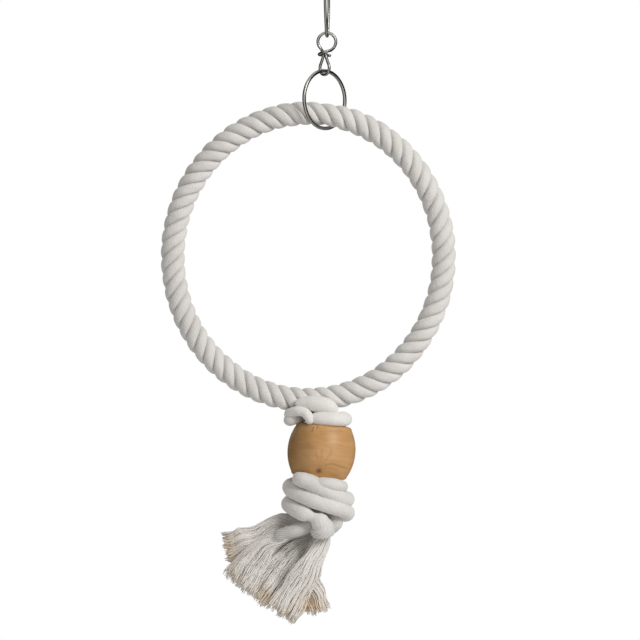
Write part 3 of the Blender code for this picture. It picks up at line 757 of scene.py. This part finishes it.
class Tail:
    """A tassel tail: its middle line, the locks and waves that its yarns share, and its random draws."""

    def __init__(self, leg):
        self.leg = leg
        self.twisted = TWISTED[leg]
        self.rng = np.random.default_rng(TAIL_SEED + leg)
        self.rows = spaced(smooth(tail_rows(leg), SPAN), TAIL_STEP)
        self.length = along(self.rows)
        self.whole = self.length[-1]
        self.ways = ways_of(self.rows[:, :3])
        self.across = unit(np.cross(self.ways, -FRONT))
        self.deep = np.cross(self.ways, self.across)
        self.waves = [self.new_wave() for _ in range(LOCK_WAVES)]
        self.locks = spiral(np.arange(LOCKS), LOCKS, self.rng.normal(0.0, LOCK_SPIN, LOCKS))
        self.lock_ends = self.rng.uniform(*LOCK_ENDS, LOCKS)

    def new_wave(self):
        """Length, phase, shift by the place of a lock, and size across and deep."""
        length = self.rng.uniform(*WAVE_LENGTHS)
        phase = self.rng.uniform(*PHASES)
        shift = self.rng.normal(0.0, WAVE_SHIFT, 2)
        return length, phase, shift, self.rng.normal(0.0, 1.0, 2)

    def section(self, place, at):
        """Where a yarn is across and deep: its place in the section, turned by the twist and fanned out."""
        untwisted = self.twisted + UNTWIST_RUN
        left = np.clip(untwisted - at, 0.0, None)
        turn = -math.pi / TWIST_PITCH * left ** 2 / untwisted
        across = place[:, 0] * np.cos(turn) - place[:, 1] * np.sin(turn)
        deep = place[:, 0] * np.sin(turn) + place[:, 1] * np.cos(turn)
        spread = np.interp(at, [0.0, self.twisted, self.twisted + SPREAD_RUN, self.whole], SPREAD)
        wider = np.where(across < 0.0, FAN_UP[self.leg], FAN_DOWN[self.leg]) - 1.0
        fan = 1.0 + wider * np.interp(at, [0.0, FAN_RUN, self.whole * FAN_UNTIL, self.whole], FAN_SHARES)
        half_width, half_thickness = at_length(at, self.length, self.rows[:, 3:]).T
        return across * half_width * spread * fan, deep * half_thickness * spread

    def yarn(self, number):
        """How far along the tail the rows of one yarn are, in mm, and its path."""
        rng = self.rng
        own_place = spiral(number, YARNS_PER_TAIL, rng.normal(0.0, YARN_SPIN))
        lock = int(np.argmin(((self.locks - own_place) ** 2).sum(1)))
        end = self.whole * (1.0 + self.lock_ends[lock] + rng.uniform(*YARN_ENDS))
        at = np.linspace(0.0, 1.0, YARN_ROWS) * end
        loose_from = self.twisted * LOOSE_FROM
        loose = rise(at, loose_from, loose_from + LOOSE_RUN)
        place = own_place + (self.locks[lock] - own_place) * LOCK_PULL * loose[:, None]
        across, deep = self.section(place, at)
        swings = np.zeros((YARN_ROWS, 2))
        for length, phase, shift, sizes in self.waves:
            swing = np.sin(FULL_TURN * at / length + phase + shift @ self.locks[lock])
            swings += np.outer(swing, sizes * WAVE_SIZE)
        own_turn = FULL_TURN * at / rng.uniform(*OWN_LENGTHS) + rng.uniform(*PHASES)
        own = np.sin(own_turn) * rng.uniform(*OWN_SIZES)
        stray = rng.normal(0.0, STRAY) + (rng.random() < FAR_SHARE) * rng.normal(0.0, FAR_STRAY)
        across += loose * (swings[:, 0] + own + stray * loose)
        deep += loose * (swings[:, 1] + own * rng.uniform(-1.0, 1.0))
        deep += FORWARD[self.leg] * rise(at, 0.0, FORWARD_RUN)
        over = np.clip(at - self.whole, 0.0, None)
        middle = at_length(at, self.length, self.rows[:, :3]) + over[:, None] * self.ways[-1]
        way_across = at_length(at, self.length, self.across)
        way_deep = at_length(at, self.length, self.deep)
        return at, middle + across[:, None] * way_across + deep[:, None] * way_deep


def tan_at(points):
    """How tan the cotton is at these points, and how much painted shade darkens it."""
    tan = np.zeros((2, len(points)))
    for x, z, reach, *amounts in TAN_SPOTS:
        away = np.hypot(points[:, 0] - x, points[:, 2] - z) / reach
        tan = np.maximum(tan, np.outer(amounts, np.exp(-away ** 2)))
    return tan


def make_tails(look):
    """Loose yarns: wound together at the knot, then fanned out in wavy locks of uneven length."""
    quads, row, side = tube_quads(YARN_ROWS, YARN_SIDES)
    cap = (YARN_ROWS - 1) * YARN_SIDES + np.arange(YARN_SIDES)
    angles = FULL_TURN * np.arange(YARN_SIDES) / YARN_SIDES
    around = np.arange(YARN_SIDES + 1) / YARN_SIDES * YARN_UV_WIDTH
    for leg in range(LEGS):
        tail = Tail(leg)
        points, tan, shade, faces, uvs = [], [], [], [], []
        for number in range(YARNS_PER_TAIL):
            at, path = tail.yarn(number)
            share = at / at[-1]
            radius = YARN_RADIUS * tail.rng.uniform(*YARN_RADII) * np.interp(share, *YARN_TAPER)
            points.append(tube_points(path, ways_of(path), radius[:, None], angles))
            # Some tan tips also get painted shade
            dry, dark = tan_at(path) * tail.rng.uniform(*TAN_RANGE)
            dry = dry + TAN_ALL + TAN_TIPS * rise(share, TIPS_FROM, 1.0)
            tan.append(np.repeat(np.clip(dry, 0.0, 1.0), YARN_SIDES))
            # Painted shade at the yarns' roots, and loose yarn painted lighter as painted light
            root = np.interp(at, [0.0, tail.twisted + ROOT_RUN], [ROOT_PAINTED_SHADE, 1.0])
            tone = (1.0 - dark) * root * (LOOSE_YARN_PAINTED_LIGHT + YARN_TONE_RANGE * tail.rng.random())
            shade.append(np.repeat(tone, YARN_SIDES))
            start = number * YARN_ROWS * YARN_SIDES
            faces.extend((quads + start).tolist())
            faces.append((cap + start).tolist())
            uv_start = number * YARN_UV_STEP
            uvs.append(quad_uvs(at * UV_PER_MM, around + uv_start, row, side))
            uvs.append(np.full((YARN_SIDES, 2), uv_start))
        values = {"tan": np.concatenate(tan), "shade": np.concatenate(shade)}
        mesh = mesh_of(f"tassel_tail_{leg + 1}_yarns", np.array(points), faces, np.vstack(uvs), values)
        piece(mesh, look, "rope", f"tassel_tail_{leg + 1}")


def grain_marks(points):
    """How dark the grain lines make the bead's front at these points, seen from the front."""
    cosine = math.cos(BEAD_TILT)
    sine = math.sin(BEAD_TILT)
    seen = points[..., [0, 2]].reshape(-1, 2) @ np.array([[cosine, -sine], [sine, cosine]])
    front = points[..., 1].ravel() < 0.0
    marks = np.zeros(len(seen))
    for width, strength, line in GRAIN_LINES:
        away = np.full(len(seen), np.inf)
        for x, z in spaced(smooth(line, SPAN), GRAIN_STEP):
            away = np.minimum(away, (seen[:, 0] - x) ** 2 + (seen[:, 1] - z) ** 2)
        marks = np.maximum(marks, strength * np.exp(-away / width ** 2))
    return marks * front


def bead_profile():
    """Distance from the bead's axis and height, up its outside, over the upper rim and down the bore."""
    height = BEAD_HALF_HEIGHT - RIM
    levels = np.linspace(-height, height, BEAD_LEVELS)
    side = [(BEAD_RADIUS * math.sqrt(1 - (z / BEAD_CURVE_HEIGHT) ** 2), z) for z in levels]
    corner = side[-1][0]
    mouth = BORE_RADIUS + MOUTH
    top = [
        (corner - RIM_WIDTH * RIM * (1.0 - math.cos(turn)), height + RIM * math.sin(turn))
        for turn in RIM_TURNS
    ]
    top += [(out, BEAD_HALF_HEIGHT) for out in np.linspace(corner - FLAT_FROM * RIM, mouth, FLAT_ROWS)]
    top += [
        (mouth - MOUTH * math.sin(turn), BEAD_HALF_HEIGHT - MOUTH + MOUTH * math.cos(turn))
        for turn in MOUTH_TURNS
    ]
    return np.array(side + top + [(out, -z) for out, z in top[::-1]])


def make_bead(look):
    """A turned barrel with rounded rims and a bore, with a small nick in its upper rim."""
    out, height = bead_profile().T[:, :, None]
    turn = FULL_TURN * np.arange(BEAD_SIDES) / BEAD_SIDES
    points = np.stack(np.broadcast_arrays(out * np.cos(turn), out * np.sin(turn), height), -1)
    near = np.exp(-(((points - NICK_AT) / NICK_REACH) ** 2).sum(-1))
    points[..., :2] *= 1.0 - NICK_IN * near[..., None]
    points[..., 2] -= NICK_DOWN * near
    u = np.arange(len(points) + 1) * BEAD_UV_STEP
    mesh = tube("wood_bead_turned", points, u, {"mark": grain_marks(points)}, True)
    place = (Vector(BEAD_AT) * MM, (0.0, BEAD_TILT, 0.0))
    piece(mesh, look, "bead", "wood_bead", place)


def wire(name, points, radius, look, body, node_name, closed=False):
    """A smooth round wire with rounded cut ends."""
    points = np.asarray(points, float)
    radii = np.full(len(points), radius)
    if closed:
        ways = ways_of(points, True)
    else:
        points, radii, ways = rounded(points, radii, WIRE_END)
    angles = FULL_TURN * np.arange(WIRE_SIDES) / WIRE_SIDES
    made = tube_points(points, ways, radii[:, None], angles)
    u = np.arange(len(points) + 1) * WIRE_UV_STEP
    mesh = tube(name, made, u, {}, closed)
    piece(mesh, look, body, node_name)


def arc(middle, radius, level, turns):
    """Points of an upright circle, turned from its level way."""
    return [middle + radius * (math.cos(turn) * level + math.sin(turn) * UP) for turn in turns]


def hook_point(out, up):
    return HOOK_WAY * out + UP * up


def make_hook(look):
    """One wire: the nose, over the bow, down the leg and round the eye that the link hangs in."""
    nose = [hook_point(BOW_RADIUS, up) for up in NOSE_HEIGHTS]
    bow = arc(hook_point(0.0, HOOK_WIRE - BOW_RADIUS), BOW_RADIUS, HOOK_WAY, BOW_TURNS)
    leg = [hook_point(out, up) for out, up in smooth(HOOK_LEG, SPAN)[1:-1]]
    eye = arc(hook_point(0.0, EYE_Z + EYE_RADIUS), EYE_RADIUS, HOOK_WAY, EYE_TURNS)
    route = [*nose, *bow, *leg, *eye, hook_point(*HOOK_FOOT)]
    wire("cage_hook_wire", route, HOOK_WIRE, look, "hook", "cage_hook")


def make_gate(look):
    gate = [hook_point(out, up) for out, up in smooth(GATE, SPAN)]
    wire("hook_gate_wire", gate, HOOK_WIRE, look, "gate", "hook_gate")


def make_link(look):
    """One wire: down and up the lower loop, round the upper one, and round the waist."""
    neck = RIGHT * NECK_X
    lower = [neck + LOWER_LOOP_WAY * out + UP * z for out, z in LOWER_LOOP_HALF]
    lower += [neck - LOWER_LOOP_WAY * out + UP * z for out, z in LOWER_LOOP_HALF[-2::-1]]
    upper = arc(LOOP_AT, LOOP_RADIUS, RIGHT, LOOP_TURNS)
    wire("chain_link_wire", smooth([*lower, *upper, *WAIST], SPAN), LINK_WIRE, look, "link", "chain_link")


def make_plain_ring(look):
    """It hangs in the link's lower loop, square to it."""
    turns = FULL_TURN * np.arange(O_RING_ROWS) / O_RING_ROWS
    ring = arc(O_RING_AT, O_RING_RADIUS, np.cross(UP, LOWER_LOOP_WAY), turns)
    wire("hanging_ring_wire", ring, O_RING_WIRE, look, "plain_ring", "hanging_ring", True)


def fill(made, values):
    """Sets inputs and properties of a shader node. In an input's name _ stands for a space."""
    for key, value in values.items():
        label = key.replace("_", " ")
        if label in made.inputs:
            made.inputs[label].default_value = value
        else:
            setattr(made, key, value)


def shader_of(name, colour, **values):
    look = bpy.data.materials.new(name)
    look.use_nodes = True
    shader = look.node_tree.nodes["Principled BSDF"]
    shader.inputs["Base Color"].default_value = (*colour, 1.0)
    fill(shader, values)
    return look, look.node_tree, shader


def node(tree, kind, *sources, **values):
    """A shader node with its first inputs linked to sources."""
    made = tree.nodes.new(kind)
    fill(made, values)
    for number, source in enumerate(sources):
        tree.links.new(source, made.inputs[number])
    return made


def noise(tree, vector, **values):
    return node(tree, "ShaderNodeTexNoise", vector, **values).outputs


def mapped(tree, source, scale):
    return node(tree, "ShaderNodeMapping", source, Scale=scale).outputs["Vector"]


def ranged(tree, source, **limits):
    return node(tree, "ShaderNodeMapRange", source, **limits).outputs["Result"]


def carried_value(tree, name):
    """The values that a mesh carries at its points."""
    return node(tree, "ShaderNodeAttribute", attribute_name=name).outputs


def ramp(tree, source, stops):
    made = node(tree, "ShaderNodeValToRGB", source)
    for element, (at, colour) in zip(made.color_ramp.elements, stops):
        element.position = at
        element.color = (*colour, 1.0)
    return made.outputs["Color"]


def colour_mix(tree, kind, *values):
    """A factor and two colours mixed. Each is a socket or a value."""
    made = node(tree, "ShaderNodeMix", data_type="RGBA", blend_type=kind)
    for number, value in zip(MIX_INPUTS, values):
        if isinstance(value, bpy.types.NodeSocket):
            tree.links.new(value, made.inputs[number])
        else:
            made.inputs[number].default_value = value
    return made.outputs[MIX_RESULT]


def bumped(tree, shader, height, **values):
    made = node(tree, "ShaderNodeBump", **values)
    tree.links.new(height, made.inputs["Height"])
    tree.links.new(made.outputs["Normal"], shader.inputs["Normal"])


def cotton():
    """Undyed cotton: soft, matt, a little uneven, with fine fibres along the yarn."""
    look, tree, shader = shader_of(
        "cotton_rope_look", COTTON_PLAIN,
        Roughness=0.92, Sheen_Weight=0.2, Sheen_Roughness=0.6, Specular_IOR_Level=0.2,
    )
    coordinates = node(tree, "ShaderNodeTexCoord").outputs
    blotch = noise(tree, coordinates["Object"], Scale=60.0, Detail=4.0)
    fibres = noise(tree, mapped(tree, coordinates["UV"], FIBRE_SCALE), Scale=1.0, Detail=3.0)
    wrinkles = noise(tree, coordinates["Object"], Scale=320.0, Detail=3.0)
    base = ramp(tree, blotch["Fac"], COTTON_RAMP)
    base = colour_mix(tree, "MULTIPLY", 1.0, base, ramp(tree, fibres["Fac"], FIBRE_RAMP))
    # The shade that meshes carry is mostly painted shade and painted light, with some random difference
    # between yarns
    base = colour_mix(tree, "MULTIPLY", 1.0, base, carried_value(tree, "shade")["Color"])
    base = colour_mix(tree, "MIX", carried_value(tree, "tan")["Fac"], base, TAN_COLOUR)
    tree.links.new(base, shader.inputs["Base Color"])
    rough = node(tree, "ShaderNodeMath", fibres["Fac"], wrinkles["Fac"], operation="ADD")
    bumped(tree, shader, rough.outputs[0], Strength=0.55, Distance=0.0006)
    return look


def wood():
    """Turned wood: soft level grain and slow bands, painted shade on its left side, and the darker marks that
    its mesh carries.
    """
    look, tree, shader = shader_of("turned_wood_look", WOOD_PLAIN, Roughness=0.42, Specular_IOR_Level=0.35)
    coordinates = node(tree, "ShaderNodeTexCoord").outputs["Object"]
    warp = noise(tree, coordinates, Scale=45.0, Detail=2.0)
    bent = node(tree, "ShaderNodeVectorMath", warp["Color"], operation="MULTIPLY_ADD")
    bent.inputs[1].default_value = GRAIN_WARP
    tree.links.new(coordinates, bent.inputs[2])
    fine = noise(tree, mapped(tree, bent.outputs[0], GRAIN_SCALE), Scale=1.0, Detail=5.0, Roughness=0.6)
    broad = noise(tree, mapped(tree, bent.outputs[0], SLOW_SCALE), Scale=1.0, Detail=3.0)
    slow = ramp(tree, broad["Fac"], WOOD_RAMP)
    base = colour_mix(tree, "MULTIPLY", GRAIN_AMOUNT, slow, ramp(tree, fine["Fac"], GRAIN_RAMP))
    # Painted shade darkens the bead towards its left side
    split = node(tree, "ShaderNodeSeparateXYZ", coordinates)
    aside = ranged(tree, split.outputs["X"], From_Min=SHADED_SIDE_PLACES[0], From_Max=SHADED_SIDE_PLACES[1])
    base = colour_mix(tree, "MULTIPLY", 1.0, base, ramp(tree, aside, SHADED_SIDE_RAMP))
    base = colour_mix(tree, "MIX", carried_value(tree, "mark")["Fac"], base, MARK_COLOUR)
    tree.links.new(base, shader.inputs["Base Color"])
    bumped(tree, shader, fine["Fac"], Strength=0.2, Distance=0.0002)
    return look


def plated():
    """Bright plated wire, a little worn."""
    look, tree, shader = shader_of(
        "plated_wire_look", PLATED_PLAIN, Roughness=0.24, Metallic=1.0, Specular_Tint=PLATED_TINT,
    )
    coordinates = node(tree, "ShaderNodeTexCoord").outputs["Object"]
    worn = noise(tree, coordinates, Scale=220.0, Detail=2.0)
    tree.links.new(ranged(tree, worn["Fac"], To_Min=0.12, To_Max=0.22), shader.inputs["Roughness"])
    return look


def make_camera(scene):
    lens = bpy.data.cameras.new("camera")
    lens.lens = LENS
    lens.sensor_width = SENSOR
    camera = bpy.data.objects.new("camera", lens)
    camera.location = CAMERA_AT
    camera.rotation_euler = (QUARTER, 0.0, 0.0)
    scene.collection.objects.link(camera)
    scene.camera = camera


def make_world(scene):
    """Even light from all round, and plain white for the camera, reflections and see-through things."""
    world = bpy.data.worlds.new("studio")
    scene.world = world
    world.use_nodes = True
    tree = world.node_tree
    tree.nodes.clear()
    light = node(tree, "ShaderNodeBackground", Color=(*WHITE, 1.0), Strength=WORLD_LIGHT)
    white = node(tree, "ShaderNodeBackground", Color=(*WHITE, 1.0), Strength=1.0)
    path = node(tree, "ShaderNodeLightPath").outputs
    rays = (path["Is Glossy Ray"], path["Is Transmission Ray"])
    other = node(tree, "ShaderNodeMath", *rays, operation="MAXIMUM")
    seen = node(tree, "ShaderNodeMath", path["Is Camera Ray"], other.outputs[0], operation="MAXIMUM")
    chosen = node(tree, "ShaderNodeMixShader", seen.outputs[0], light.outputs[0], white.outputs[0])
    node(tree, "ShaderNodeOutputWorld", chosen.outputs[0])


def make_lamps(scene):
    for name, place, size, power in LAMPS:
        lamp = bpy.data.lights.new(name, "AREA")
        lamp.size = size
        lamp.energy = power
        obj = bpy.data.objects.new(name, lamp)
        obj.location = place
        aim = Vector(LAMPS_AIM) - Vector(place)
        obj.rotation_euler = aim.to_track_quat("-Z", "Y").to_euler()
        scene.collection.objects.link(obj)


def make_floor():
    bpy.ops.mesh.primitive_circle_add(
        vertices=FLOOR_SIDES, radius=FLOOR_RADIUS, fill_type="NGON", location=FLOOR_AT,
    )
    floor = bpy.context.object
    floor.name = "floor"
    look, _, _ = shader_of("floor_look", FLOOR_PLAIN, Roughness=0.9)
    floor.data.materials.append(look)


def make_cards():
    look, _, _ = shader_of("card_look", CARD_PLAIN, Roughness=1.0)
    for name, place, turn, scale in CARDS:
        bpy.ops.mesh.primitive_plane_add(size=1.0, location=place, rotation=turn)
        card = bpy.context.object
        card.name = name
        card.scale = scale
        card.data.materials.append(look)
        card.visible_camera = False
        card.visible_diffuse = False
        card.visible_shadow = False


def make_stage():
    scene = bpy.context.scene
    scene.view_settings.view_transform = "Standard"
    make_camera(scene)
    make_world(scene)
    make_lamps(scene)
    make_floor()
    make_cards()


def dress_core():
    """The hoop inside the rope keeps its solid and gets plain steel."""
    steel, _, _ = shader_of("core_wire_look", CORE_PLAIN, Roughness=0.35, Metallic=1.0)
    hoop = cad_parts["ring_core_hoop"]
    hoop.data.materials.clear()
    hoop.data.materials.append(steel)


make_stage()
COTTON = cotton()
WOOD = wood()
PLATED = plated()
make_ring(COTTON)
make_upper_knot(COTTON)
make_legs(COTTON)
make_tails(COTTON)
make_bead(WOOD)
make_hook(PLATED)
make_gate(PLATED)
make_link(PLATED)
make_plain_ring(PLATED)
dress_core()
